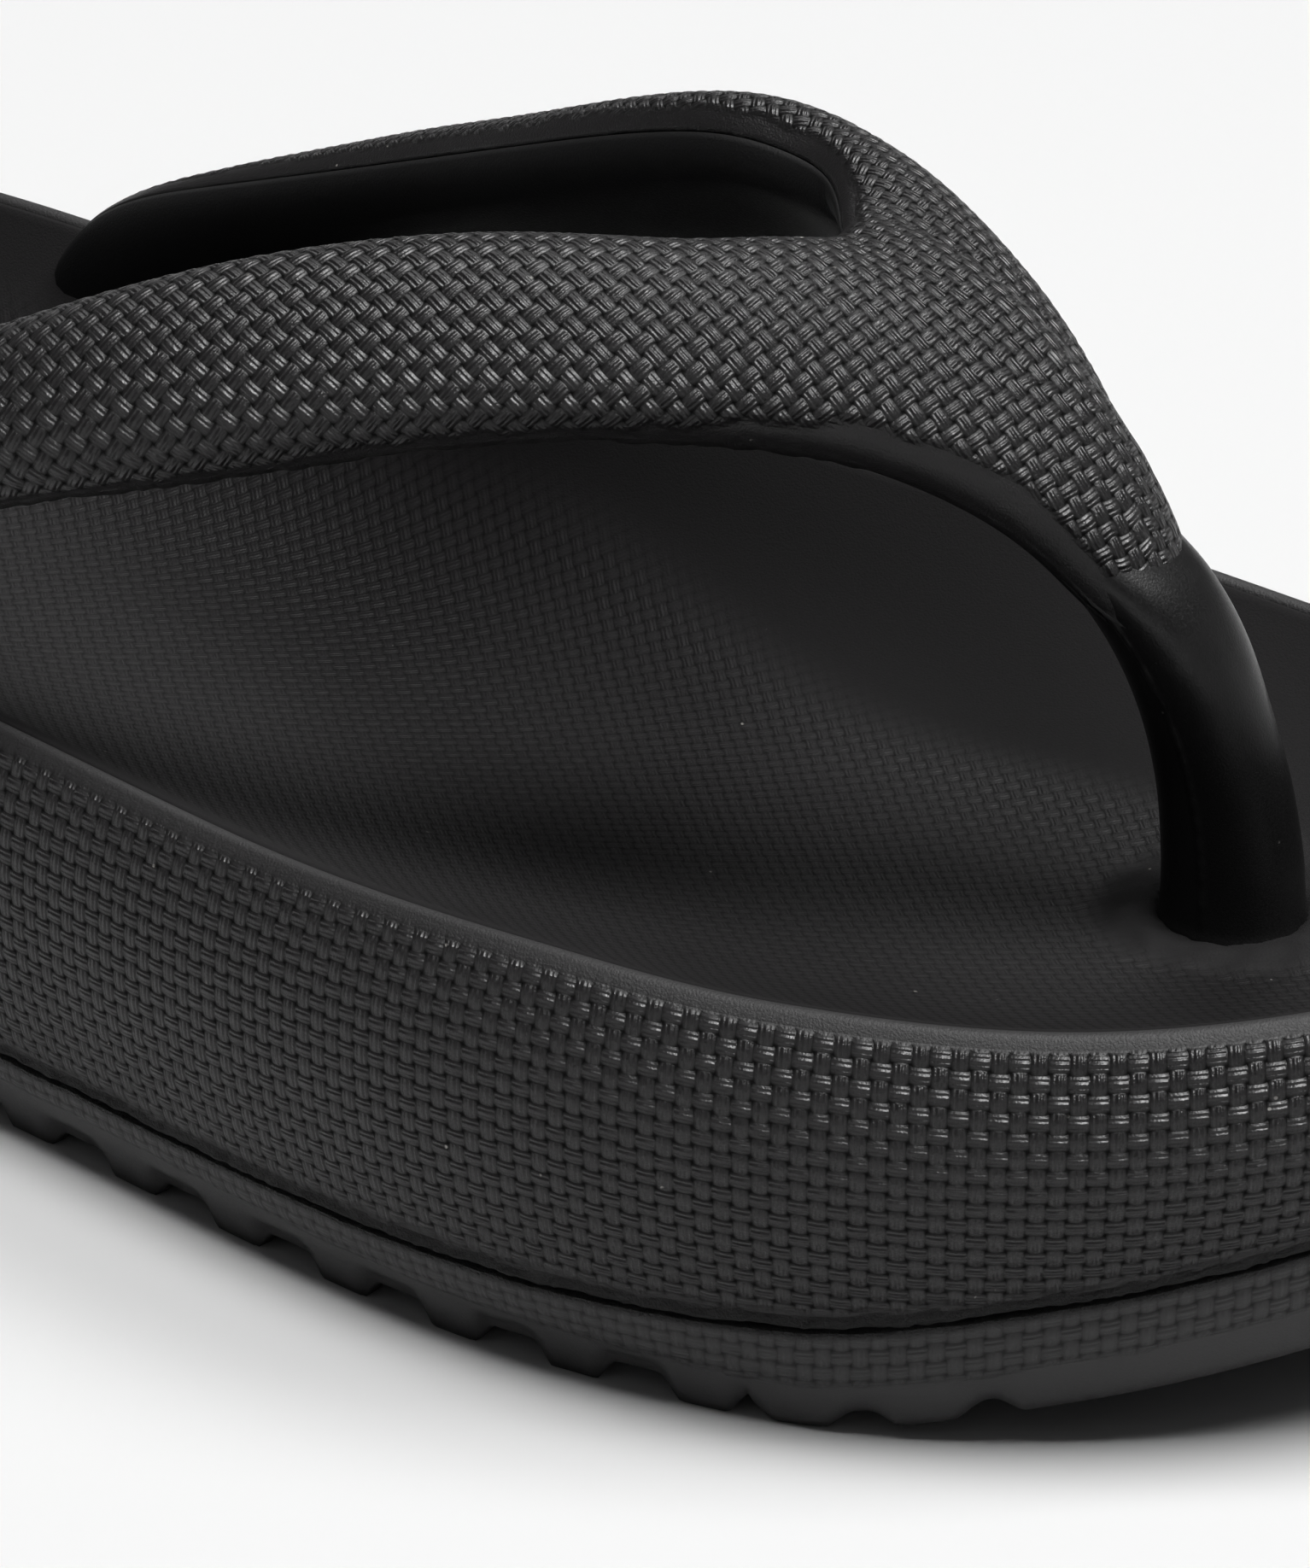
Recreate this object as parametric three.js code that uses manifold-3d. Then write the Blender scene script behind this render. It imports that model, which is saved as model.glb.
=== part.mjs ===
// A right-foot flip flop: a moulded foam sole in three layers and a padded thong strap.
// Millimetres, +Z up. The toe points to -Y, the heel to +Y and the inner (medial) side to +X.
// The origin is on the ground, at the centre of the sandal's plan box.
import * as THREE from "three";
import { mergeVertices } from "three/addons/utils/BufferGeometryUtils.js";
import Module from "manifold-3d";

const wasm = await Module();
wasm.setup();

// Overall sizes.
const soleLength = 264;
const soleWidth = 98.6;
const fitGap = 0.3; // between pieces that are bonded or pushed together

// Sole layers.
const outsoleHeight = 9.4; // ground to the bond line
const lugHeight = 2.2;
const lugPitch = 11.6;
const lugLength = 7;
const treadMargin = 7; // from the widest outline to the ends of the lugs
const grooveWidth = 3.2; // lengthwise grooves between the lug blocks
const grooveSpacing = 27;
const footbedThickness = 4;
const footbedHeight = 24.2; // ground to the footbed at the toe post
const lipWidth = 1.6;
const rimInset = 2.7; // rim inside the widest outline
const bondInset = 3.1; // bond line inside the widest outline
const dishPower = 2.7; // how suddenly the footbed turns up into the rim

// Toe post and the parts that hold it.
const postAlong = 0.824; // share of the length, from the heel
const postAcross = 0.132; // share of the width, towards the inner side
const postWidth = 10.4; // across the foot
const postDepth = 12.4; // along the foot
const postLean = 1.7; // how late the post leans back towards the strap
const postOverlap = 1; // post drawn this far into the strap, then cut to fit it
const plugDiameter = 22;
const plugThickness = 2.6;
const washerDiameter = 24;
const washerThickness = 1.4;
const plugRecess = 1; // plug's face above the lug base
const recessClearance = 0.8; // round the plug and the washer

// Strap.
const liningThickness = 2.6;
const liningInset = 0.9; // lining edge inside the cover edge
const anchorLength = 19;
const anchorWidth = 5.2;
const anchorDepth = 13; // into the sole
const anchorSeat = 0.4; // share of the way between an arm's last two stations

// Mesh fineness.
const sideSteps = 38; // along each side of the outline
const wallSteps = 6;
const dishSteps = 5;
const sectionSteps = 8;
const sweepSteps = 3; // between two strap stations
const postSides = 24;
const postSteps = 7;

// Outline stations from toe to heel: share of the length from the heel, then the
// share of the width to the outer side and to the inner side.
const OUTLINE = [
  [0.964, 0.115, 0.356],
  [0.9, 0.302, 0.456],
  [0.8, 0.452, 0.499],
  [0.69, 0.5, 0.472],
  [0.54, 0.443, 0.382],
  [0.37, 0.378, 0.351],
  [0.16, 0.325, 0.343],
  [0.04, 0.205, 0.225],
];
const TOE_ACROSS = 0.138;
const HEEL_ACROSS = -0.005;

// The spine that the inner rings close on, as shares of the length from the heel. It
// runs straight from the heel, then turns straight towards the tip of the toe.
const SPINE_TOE = 0.885;
const SPINE_HEEL = 0.13;
const SPINE_BEND = 0.45;

// Heights along the sole: share of the length from the heel, then millimetres. The rim
// is measured from the ground, the dish's bottom from the footbed at the toe post, and
// the toe spring from the flat tread.
const RIM_OUTER = [
  [0, 45.4], [0.15, 45.8], [0.3, 42.2], [0.45, 39.4], [0.6, 38.1], [0.72, 38.3], [0.8, 36.8],
  [0.88, 35.8], [0.96, 37.3], [1, 38.4],
];
const RIM_INNER = [
  [0, 45.4], [0.15, 48], [0.3, 48.5], [0.45, 45.2], [0.6, 40.5], [0.72, 36.2], [0.8, 34.5],
  [0.88, 35.5], [0.96, 37.7], [1, 38.4],
];
const DISH = [
  [0, 8], [0.15, 7.5], [0.3, 7.6], [0.45, 6.4], [0.6, 3], [0.72, 0.6], [0.83, 0], [0.92, 2.4],
  [1, 6],
];
const TOE_SPRING = [[0, 0.6], [0.05, 0], [0.8, 0], [0.88, 3.6], [0.96, 9], [1, 12]];

// Strap stations: share of the length from the heel, share of the width towards the
// inner side, height above the footbed, the outward direction of the face, half the
// width of the band and the thickness of the cover.
const OUTER_ARM = [
  [0.803, 0.107, 27.8, 0, -1, 0.25, 5.7, 4.4],
  [0.774, 0.078, 36.8, -0.05, -0.85, 0.5, 6.8, 4.6],
  [0.736, 0.022, 43.8, -0.25, -0.62, 0.75, 8.8, 4.8],
  [0.703, -0.048, 47.4, -0.42, -0.45, 0.8, 9.8, 5],
  [0.638, -0.172, 48.2, -0.62, -0.28, 0.74, 9.6, 5],
  [0.553, -0.284, 43.8, -0.74, -0.2, 0.62, 9.3, 5],
  [0.489, -0.335, 37.8, -0.8, -0.16, 0.55, 9.3, 5],
  [0.436, -0.338, 29.8, -0.86, -0.12, 0.45, 9.5, 5],
  [0.39, -0.322, 19.8, -0.95, -0.05, 0.3, 9.8, 5],
  [0.36, -0.308, 10.8, -1, 0, 0.1, 10, 5],
];
const INNER_ARM = [
  [0.803, 0.107, 27.8, 0, -1, 0.25, 5.7, 4.4],
  [0.774, 0.1, 36.8, 0.05, -0.85, 0.5, 6.8, 4.6],
  [0.736, 0.107, 43.8, 0.25, -0.62, 0.75, 8.8, 4.8],
  [0.703, 0.14, 48.6, 0.42, -0.45, 0.8, 9.8, 5],
  [0.633, 0.205, 49.2, 0.62, -0.28, 0.74, 9.6, 5],
  [0.549, 0.267, 41.8, 0.74, -0.2, 0.62, 9.3, 5],
  [0.492, 0.302, 35.8, 0.8, -0.16, 0.55, 9.3, 5],
  [0.439, 0.311, 29.5, 0.86, -0.12, 0.45, 9.5, 5],
  [0.389, 0.302, 22.3, 0.95, -0.05, 0.3, 9.8, 5],
  [0.352, 0.29, 13.8, 1, 0, 0.1, 10, 5],
];
// The web where the arms part, on the line of the toe post.
const FORK = [
  [0.774, 0.09, 36.8, 0, -0.85, 0.5, 6, 4.6],
  [0.736, 0.072, 44.4, 0, -0.62, 0.78, 8, 4.8],
  [0.694, 0.058, 49.4, 0, -0.35, 0.93, 8, 5],
];

const groundToOrigin = outsoleHeight - lugHeight; // lug base up to the bond line

function lengthwise(share) {
  return (0.5 - share) * soleLength;
}

function shareAt(y) {
  return 0.5 - y / soleLength;
}

// A smooth height through a table's points, by Hermite pieces.
function along(table, share) {
  const last = table.length - 1;
  const t = Math.min(Math.max(share, table[0][0]), table[last][0]);
  let i = 0;
  while (i < last - 1 && t > table[i + 1][0]) i++;
  const slope = (k) => {
    const a = table[Math.max(k - 1, 0)];
    const b = table[Math.min(k + 1, last)];
    return (b[1] - a[1]) / (b[0] - a[0]);
  };
  const [x0, z0] = table[i];
  const [x1, z1] = table[i + 1];
  const step = x1 - x0;
  const u = (t - x0) / step;
  const rise = 3 * u * u - 2 * u * u * u;
  const leave = u * (1 - u) * (1 - u) * step * slope(i);
  const arrive = u * u * (u - 1) * step * slope(i + 1);
  return z0 + (z1 - z0) * rise + leave + arrive;
}

// The sole's widest outline, from the toe round the outer side to the heel and back.
const outline = (() => {
  const at = (share, across) => new THREE.Vector3(across * soleWidth, lengthwise(share), 0);
  const outer = OUTLINE.map(([share, outside]) => at(share, -outside));
  const inner = OUTLINE.map(([share, , inside]) => at(share, inside)).reverse();
  const points = [at(1, TOE_ACROSS), ...outer, at(0, HEEL_ACROSS), ...inner];
  return new THREE.CatmullRomCurve3(points, true, "centripetal");
})();

// Points round the outline, each with its inward direction, the point of the spine
// that it leads to, and the heights there.
const RING = Array.from({ length: 2 * sideSteps }, (_, i) => {
  const edge = outline.getPoint(i / (2 * sideSteps));
  const tangent = outline.getTangent(i / (2 * sideSteps));
  const inward = new THREE.Vector3(tangent.y, -tangent.x, 0).normalize();
  const step = i <= sideSteps ? i : 2 * sideSteps - i;
  const spineShare = SPINE_TOE - (SPINE_TOE - SPINE_HEEL) * (step / sideSteps);
  const turn = Math.max(0, (spineShare - SPINE_BEND) / (1 - SPINE_BEND));
  const spineAcross = HEEL_ACROSS + (TOE_ACROSS - HEEL_ACROSS) * turn;
  const spine = new THREE.Vector3(spineAcross * soleWidth, lengthwise(spineShare), 0);
  const share = shareAt(edge.y);
  const rimTable = i <= sideSteps ? RIM_OUTER : RIM_INNER;
  return {
    edge,
    inward,
    spine,
    rim: along(rimTable, share),
    dish: footbedHeight + along(DISH, spineShare),
    spring: along(TOE_SPRING, share),
    spineSpring: along(TOE_SPRING, spineShare),
  };
});

// A ring of points a given distance inside the outline, at a height that may vary.
function insetRing(inset, height) {
  return RING.map((r) => {
    const p = r.edge.clone().addScaledVector(r.inward, inset);
    p.z = height(r);
    return p;
  });
}

// A ring between an inset of the outline (share 0) and the spine (share 1).
function innerRing(inset, share, height) {
  return RING.map((r) => {
    const p = r.edge.clone().addScaledVector(r.inward, inset).lerp(r.spine, share);
    p.z = height(r, share);
    return p;
  });
}

function dishHeight(r, share) {
  return r.dish + (r.rim - r.dish) * (1 - share) ** dishPower;
}

function bondHeight(r) {
  return outsoleHeight + r.spring;
}

// The rings of the sidewall, from the rim down to the bond line.
function wallRings(drop, grow) {
  const widest = 0.42;
  return Array.from({ length: wallSteps + 1 }, (_, k) => {
    const w = k / wallSteps;
    const inset = w < widest
      ? rimInset * (1 - w / widest) ** 2.2
      : bondInset * ((w - widest) / (1 - widest)) ** 2;
    return insetRing(inset - grow, (r) => r.rim + (bondHeight(r) + drop - r.rim) * w);
  });
}

// A closed surface from a list of rings of equal length. An end ring that folds onto
// the spine closes itself, and any other end gets a fan.
function loft(rings, capStart, capEnd) {
  const count = rings[0].length;
  const positions = rings.flat().flatMap((p) => [p.x, p.y, p.z]);
  const index = [];
  for (let k = 0; k + 1 < rings.length; k++) {
    for (let i = 0; i < count; i++) {
      const a = k * count + i;
      const b = k * count + ((i + 1) % count);
      index.push(a, b, b + count, a, b + count, a + count);
    }
  }
  const fan = (k, flip) => {
    const middle = new THREE.Vector3();
    rings[k].forEach((p) => middle.addScaledVector(p, 1 / count));
    const centre = positions.push(middle.x, middle.y, middle.z) / 3 - 1;
    for (let i = 0; i < count; i++) {
      const a = k * count + i;
      const b = k * count + ((i + 1) % count);
      index.push(...(flip ? [centre, b, a] : [centre, a, b]));
    }
  };
  if (capStart) fan(0, true);
  if (capEnd) fan(rings.length - 1, false);
  const geometry = new THREE.BufferGeometry();
  geometry.setAttribute("position", new THREE.Float32BufferAttribute(positions, 3));
  geometry.setIndex(index);
  return solidOf(geometry);
}

// A manifold solid of a closed geometry, turned so that its faces point outwards.
function solidOf(geometry) {
  const bare = geometry.clone();
  bare.deleteAttribute("normal");
  bare.deleteAttribute("uv");
  const merged = mergeVertices(bare, 1e-3);
  const vertices = merged.attributes.position.array;
  const corners = merged.index.array;
  const triangles = [];
  let volume = 0;
  const at = (k) => new THREE.Vector3().fromArray(vertices, 3 * k);
  for (let i = 0; i < corners.length; i += 3) {
    const [a, b, c] = corners.slice(i, i + 3);
    if (a === b || b === c || c === a) continue;
    triangles.push(a, b, c);
    volume += at(a).dot(at(b).cross(at(c)));
  }
  if (volume < 0) triangles.reverse();
  const mesh = new wasm.Mesh({
    numProp: 3,
    vertProperties: vertices,
    triVerts: new Uint32Array(triangles),
  });
  return new wasm.Manifold(mesh);
}

function geometryOf(solid) {
  const mesh = solid.getMesh();
  const geometry = new THREE.BufferGeometry();
  const positions = new Float32Array(mesh.numVert * 3);
  for (let i = 0; i < mesh.numVert; i++) {
    const start = i * mesh.numProp;
    positions.set(mesh.vertProperties.subarray(start, start + 3), i * 3);
  }
  geometry.setAttribute("position", new THREE.BufferAttribute(positions, 3));
  geometry.setIndex(new THREE.BufferAttribute(mesh.triVerts, 1));
  geometry.computeVertexNormals();
  return geometry;
}

function union(solids) {
  return solids.reduce((a, b) => a.add(b));
}

// A cut's largest body, without the slivers that a grazing cut leaves.
function mainBody(solid) {
  const bodies = solid.decompose();
  return bodies.reduce((a, b) => (b.volume() > a.volume() ? b : a));
}

// An upright oval column between two heights.
function column(x, y, width, depth, bottom, top, sides = 28) {
  const geometry = new THREE.CylinderGeometry(0.5, 0.5, top - bottom, sides);
  geometry.rotateX(Math.PI / 2);
  geometry.scale(width, depth, 1);
  geometry.translate(x, y, (top + bottom) / 2);
  return solidOf(geometry);
}

function block(x0, x1, y0, y1, z0, z1) {
  const geometry = new THREE.BoxGeometry(x1 - x0, y1 - y0, z1 - z0);
  geometry.translate((x0 + x1) / 2, (y0 + y1) / 2, (z0 + z1) / 2);
  return solidOf(geometry);
}

const postX = postAcross * soleWidth;
const postY = lengthwise(postAlong);
const lugBase = lugHeight;
const plugBottom = lugBase + plugRecess;
const plugTop = plugBottom + plugThickness;
const washerTop = plugTop + fitGap + washerThickness;

// Rings over the top of the sole from the spine out to the lip, at a depth below it.
function dishRings(depth, edgeInset) {
  const steps = Array.from({ length: dishSteps }, (_, k) => 1 - k / dishSteps);
  return steps.map((share) =>
    innerRing(edgeInset, share, (r, s) => dishHeight(r, s) - depth));
}

// The whole sole above the bond line with a plain dished top, raised by a clearance.
function soleEnvelope(clearance) {
  return loft([
    ...dishRings(-clearance, rimInset + lipWidth),
    insetRing(rimInset + lipWidth, (r) => r.rim + clearance),
    insetRing(rimInset - clearance, (r) => r.rim + clearance),
    ...wallRings(0, clearance).slice(1),
    innerRing(bondInset, 1, (r) => outsoleHeight + r.spineSpring),
  ]);
}

// The hole for the toe post, through every layer of the sole.
function postHole() {
  const grow = 2 * fitGap;
  return column(postX, postY, postWidth + grow, postDepth + grow, -1, 2 * footbedHeight);
}

// The recess under the sole for the plug and its washer.
function plugHole() {
  const across = Math.max(plugDiameter, washerDiameter) + 2 * recessClearance;
  return column(postX, postY, across, across, -1, washerTop + fitGap, 40);
}

// An upright tenon under the end of an arm, cut level with the top of the sole.
function anchorBlock([share, across], grow) {
  const x = across * soleWidth;
  const y = lengthwise(share);
  const deep = footbedHeight + along(DISH, share) - anchorDepth - grow;
  const width = anchorWidth + 2 * grow;
  return column(x, y, width, anchorLength + 2 * grow, deep, 2 * footbedHeight + anchorDepth);
}

// Where each arm goes into the sole, between its last two stations.
function armEnds() {
  return [OUTER_ARM, INNER_ARM].map((arm) => {
    const [before, last] = arm.slice(-2);
    return [0, 1].map((k) => before[k] + anchorSeat * (last[k] - before[k]));
  });
}

function anchorPockets() {
  return armEnds().map((end) => anchorBlock(end, fitGap));
}

function makeAnchors() {
  const sole = soleEnvelope(0);
  return armEnds().map((end) => anchorBlock(end, 0).intersect(sole));
}

function makeMidsole() {
  const pocket = footbedThickness + fitGap;
  const body = loft([
    ...dishRings(pocket, rimInset + lipWidth),
    insetRing(rimInset + lipWidth, (r) => r.rim - pocket),
    insetRing(rimInset + lipWidth, (r) => r.rim),
    ...wallRings(fitGap / 2, 0),
    innerRing(bondInset, 1, (r) => outsoleHeight + fitGap / 2 + r.spineSpring),
  ]);
  return body.subtract(union([postHole(), ...anchorPockets()]));
}

// A ring just inside the lip, a clearance from it along the line to the spine.
function padEdgeRing(clearance, depth) {
  return RING.map((r) => {
    const p = r.edge.clone().addScaledVector(r.inward, rimInset + lipWidth);
    const share = clearance / p.distanceTo(r.spine);
    p.lerp(r.spine, share);
    p.z = dishHeight(r, share) - depth;
    return p;
  });
}

function makeFootbed() {
  const edge = rimInset + lipWidth;
  const pad = loft([
    ...dishRings(footbedThickness, edge),
    padEdgeRing(1.4 * fitGap, footbedThickness),
    padEdgeRing(1.4 * fitGap, 0),
    ...dishRings(0, edge).reverse(),
  ]);
  return pad.subtract(union([postHole(), ...anchorPockets()]));
}

// The outsole's body, from the bond line down to the lug base.
function outsoleBody() {
  const top = (r) => bondHeight(r) - fitGap / 2;
  return loft([
    innerRing(treadMargin, 1, (r) => lugBase + r.spineSpring),
    insetRing(treadMargin, (r) => lugBase + r.spring),
    insetRing(bondInset + 2.8, (r) => lugBase + r.spring + 0.9),
    insetRing(bondInset + 1.4, (r) => top(r) - 0.62 * groundToOrigin),
    insetRing(bondInset + 0.3, (r) => top(r) - 0.3 * groundToOrigin),
    insetRing(bondInset, top),
    innerRing(bondInset, 1, (r) => outsoleHeight - fitGap / 2 + r.spineSpring),
  ]);
}

// Rows of lugs across the flat part of the tread, split by two lengthwise grooves.
function treadLugs() {
  const tread = loft([
    innerRing(treadMargin, 1, () => 0),
    insetRing(treadMargin + 0.8, () => 0),
    insetRing(treadMargin, () => lugBase + 1),
    innerRing(treadMargin, 1, () => lugBase + 1),
  ]);
  const flatEnd = lengthwise(0.8);
  const rows = Math.floor((soleLength * 0.77) / lugPitch);
  const bars = Array.from({ length: rows }, (_, k) => {
    const y = flatEnd + k * lugPitch;
    return block(-soleWidth, soleWidth, y, y + lugLength, -1, lugBase + 2);
  });
  const grooves = [-0.5, 0.5].map((side) => {
    const x = side * grooveSpacing;
    const half = grooveWidth / 2;
    return block(x - half, x + half, -soleLength, soleLength, -1, lugBase);
  });
  return tread.intersect(union(bars)).subtract(union(grooves));
}

function makeOutsole() {
  return outsoleBody().add(treadLugs()).subtract(plugHole()).subtract(postHole());
}

// A strap section's frame at every step along an arm.
function armFrames(stations) {
  const centres = stations.map(([share, across, up]) =>
    new THREE.Vector3(across * soleWidth, lengthwise(share), footbedHeight + up));
  const faces = stations.map(([, , , x, y, z]) => new THREE.Vector3(x, y, z).normalize());
  const sizes = stations.map(([, , , , , , half, bulge]) => new THREE.Vector3(half, bulge, 0));
  const [path, facing, sizing] = [centres, faces, sizes]
    .map((points) => new THREE.CatmullRomCurve3(points, false, "catmullrom"));
  const steps = (stations.length - 1) * sweepSteps;
  return Array.from({ length: steps + 1 }, (_, k) => {
    const t = k / steps;
    const tangent = path.getTangent(t);
    const across = new THREE.Vector3().crossVectors(tangent, facing.getPoint(t)).normalize();
    const out = new THREE.Vector3().crossVectors(across, tangent).normalize();
    const size = sizing.getPoint(t);
    return { centre: path.getPoint(t), tangent, across, out, half: size.x, bulge: size.y };
  });
}

// One layer of an arm: a domed face over a flat back. Its ends grow as its faces do.
function armLayer(stations, { shape, grow }) {
  const frames = armFrames(stations);
  const rings = frames.map((f, place) => {
    const { half, front, back } = shape(f);
    const end = (place === frames.length - 1) - (place === 0);
    const point = (a, n) =>
      f.centre.clone().addScaledVector(f.across, a).addScaledVector(f.out, n)
        .addScaledVector(f.tangent, end * grow);
    const dome = (height, level) => Array.from({ length: sectionSteps + 1 }, (_, k) => {
      const angle = Math.PI * (k / sectionSteps);
      const a = Math.cos(angle);
      return [half * Math.sign(a) * Math.abs(a) ** 0.8, level + height * Math.sin(angle) ** 0.85];
    });
    const face = dome(front.height, front.level).map(([a, n]) => point(a, n));
    const rear = dome(back.height, back.level).reverse().map(([a, n]) => point(a, n));
    return [...face, ...rear];
  });
  return loft(rings, true, true);
}

function coverLayer(grow) {
  const shape = (f) => ({
    half: f.half + grow,
    front: { height: f.bulge + grow, level: 0 },
    back: { height: 0, level: -grow },
  });
  return { shape, grow };
}

function liningLayer(grow) {
  const shape = (f) => ({
    half: f.half - liningInset + grow,
    front: { height: 0, level: 0 },
    back: { height: -liningThickness - grow, level: 0 },
  });
  return { shape, grow };
}

// One layer of the whole yoke: both arms and the web between them.
function yoke(layer) {
  return union([OUTER_ARM, INNER_ARM, FORK].map((arm) => armLayer(arm, layer)));
}

function makeCover() {
  return mainBody(yoke(coverLayer(0)).subtract(soleEnvelope(fitGap)));
}

function makeLining() {
  const room = yoke(coverLayer(fitGap)).add(soleEnvelope(fitGap));
  return mainBody(yoke(liningLayer(0)).subtract(room));
}

// The toe post: an oval column that leans back to meet the strap, with a plug at its foot.
function makeToePost() {
  const top = armFrames(OUTER_ARM)[0];
  const foot = new THREE.Vector3(postX, postY, footbedHeight);
  const head = top.centre.clone()
    .addScaledVector(top.out, (top.bulge - liningThickness) / 2)
    .addScaledVector(top.tangent, postOverlap);
  const backwards = top.out.clone().negate();
  const ring = (centre, across, deep, width, depth) =>
    Array.from({ length: postSides }, (_, k) => {
      const angle = (2 * Math.PI * k) / postSides;
      return centre.clone()
        .addScaledVector(across, (width / 2) * Math.cos(angle))
        .addScaledVector(deep, (depth / 2) * Math.sin(angle));
    });
  const [right, back] = [new THREE.Vector3(1, 0, 0), new THREE.Vector3(0, 1, 0)];
  const rings = [ring(foot.clone().setZ(plugBottom), right, back, postWidth, postDepth)];
  for (let k = 0; k <= postSteps; k++) {
    const u = k / postSteps;
    const lean = u ** postLean;
    const centre = foot.clone().lerp(head, lean).setZ(foot.z + u * (head.z - foot.z));
    const across = right.clone().lerp(top.across, lean).normalize();
    const deep = back.clone().lerp(backwards, lean).normalize();
    const width = postWidth + (2 * top.half - postWidth) * lean;
    const depth = postDepth + (top.bulge + liningThickness - postDepth) * lean;
    rings.push(ring(centre, across, deep, width, depth));
  }
  const plug = column(postX, postY, plugDiameter, plugDiameter, plugBottom, plugTop);
  const strapRoom = yoke(coverLayer(fitGap)).add(yoke(liningLayer(fitGap)));
  return mainBody(loft(rings, true, true).subtract(strapRoom)).add(plug);
}

// A stiff ring above the plug, which keeps it from pulling through the foam.
function makeWasher() {
  const bottom = plugTop + fitGap;
  const disc = column(postX, postY, washerDiameter, washerDiameter, bottom, washerTop, 40);
  const grow = 2 * fitGap;
  const hole = column(postX, postY, postWidth + grow, postDepth + grow, 0, washerTop + 1);
  return disc.subtract(hole);
}

function named(name, solid, colour, roughness) {
  const material = new THREE.MeshStandardMaterial({ color: colour, roughness, metalness: 0 });
  const mesh = new THREE.Mesh(geometryOf(solid), material);
  mesh.name = name;
  return mesh;
}

const [outerAnchor, innerAnchor] = makeAnchors();
const group = new THREE.Group();
group.add(
  named("midsole", makeMidsole(), 0x2b2a2a, 0.62),
  named("footbed", makeFootbed(), 0x262626, 0.7),
  named("outsole", makeOutsole(), 0x1d1d1d, 0.6),
  named("strap_cover", makeCover(), 0x2b2a2a, 0.55),
  named("strap_lining", makeLining(), 0x191919, 0.7),
  named("toe_post", makeToePost(), 0x222222, 0.5),
  named("toe_post_washer", makeWasher(), 0x3a3a3a, 0.4),
  named("lateral_strap_anchor", outerAnchor, 0x3a3a3a, 0.4),
  named("medial_strap_anchor", innerAnchor, 0x3a3a3a, 0.4),
);
export default group;
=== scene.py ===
"""A black moulded foam flip flop, for the right foot, on a pale studio floor.

The toe points to -Y, the heel to +Y and the inner side of the foot to +X. Shapes are worked
out in millimetres and turned into metres when a piece is made.
"""

import math

import bpy
import numpy as np
from mathutils import Matrix, Vector


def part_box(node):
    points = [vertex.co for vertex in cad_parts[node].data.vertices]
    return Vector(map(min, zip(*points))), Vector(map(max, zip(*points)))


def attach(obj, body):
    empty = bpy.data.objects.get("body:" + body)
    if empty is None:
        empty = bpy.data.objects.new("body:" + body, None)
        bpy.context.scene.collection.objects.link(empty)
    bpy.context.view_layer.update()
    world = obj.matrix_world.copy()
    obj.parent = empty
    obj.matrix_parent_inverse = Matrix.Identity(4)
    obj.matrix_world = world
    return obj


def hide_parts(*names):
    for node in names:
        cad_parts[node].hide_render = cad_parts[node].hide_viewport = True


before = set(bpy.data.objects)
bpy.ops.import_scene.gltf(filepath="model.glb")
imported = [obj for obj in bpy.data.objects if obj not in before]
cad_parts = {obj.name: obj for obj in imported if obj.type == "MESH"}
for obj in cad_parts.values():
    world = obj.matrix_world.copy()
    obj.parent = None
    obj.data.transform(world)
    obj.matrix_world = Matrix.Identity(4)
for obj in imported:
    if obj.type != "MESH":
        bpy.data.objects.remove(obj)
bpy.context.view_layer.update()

MM = 0.001

# ---------------------------------------------------------------- sizes

SOLE_LENGTH = 264
SOLE_WIDTH = 98.6
FOOTBED_HEIGHT = 24.2  # ground to the footbed at the toe post
BOND_HEIGHT = 9.4  # ground to the line where the outsole is bonded on
LUG_HEIGHT = 2.2
LUG_PITCH = 12.2
LUG_LENGTH = 7
EDGE_BLOCKS = [-99, -90.2, -80.8]  # middles of the short blocks under the toe, along the sole
FIRST_BLOCK = -72.8  # middle of the first full block
GROOVE_WIDTH = 3.2
GROOVE_SPACING = 27
TREAD_MARGIN = 7
RIM_INSET = 2.7
LIP_WIDTH = 1.6
BOND_INSET = 3.1
BOND_GAP = 0.06  # half the crack between midsole and outsole
DISH_POWER = 2.7
FOOTBED_THICKNESS = 4
FIT_GAP = 0.3

THREAD = 1.5  # pitch of the moulded weave
STRAP_THREAD = 1.37
FOOTBED_THREAD = 1.15
THREAD_RISE = 0.2  # how far its threads stand up
WEAVE_TURN = math.radians(45)  # it lies slantwise on the footbed and the strap
THREAD_MIDDLE = 0.5  # height of a thread that stays level with the plain foam
THREAD_ROUND = 0.94  # 0 for a flat thread, 1 for a half round one
THREAD_DIP = 0.32  # how far a thread sinks before it passes under its neighbour
TUCK = 1.15, 1.6  # where a thread fades out under its neighbour, in half threads

# Outline stations from toe to heel: share of the length from the heel, then the share of
# the width to the outer side and to the inner side.
OUTLINE = [
    (0.964, 0.115, 0.356), (0.9, 0.302, 0.456), (0.8, 0.452, 0.499), (0.69, 0.5, 0.472),
    (0.54, 0.443, 0.382), (0.37, 0.378, 0.351), (0.16, 0.325, 0.343), (0.04, 0.205, 0.225),
]
TOE_ACROSS = 0.138
HEEL_ACROSS = -0.005
SPINE_TOE, SPINE_HEEL, SPINE_BEND = 0.885, 0.13, 0.45

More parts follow.
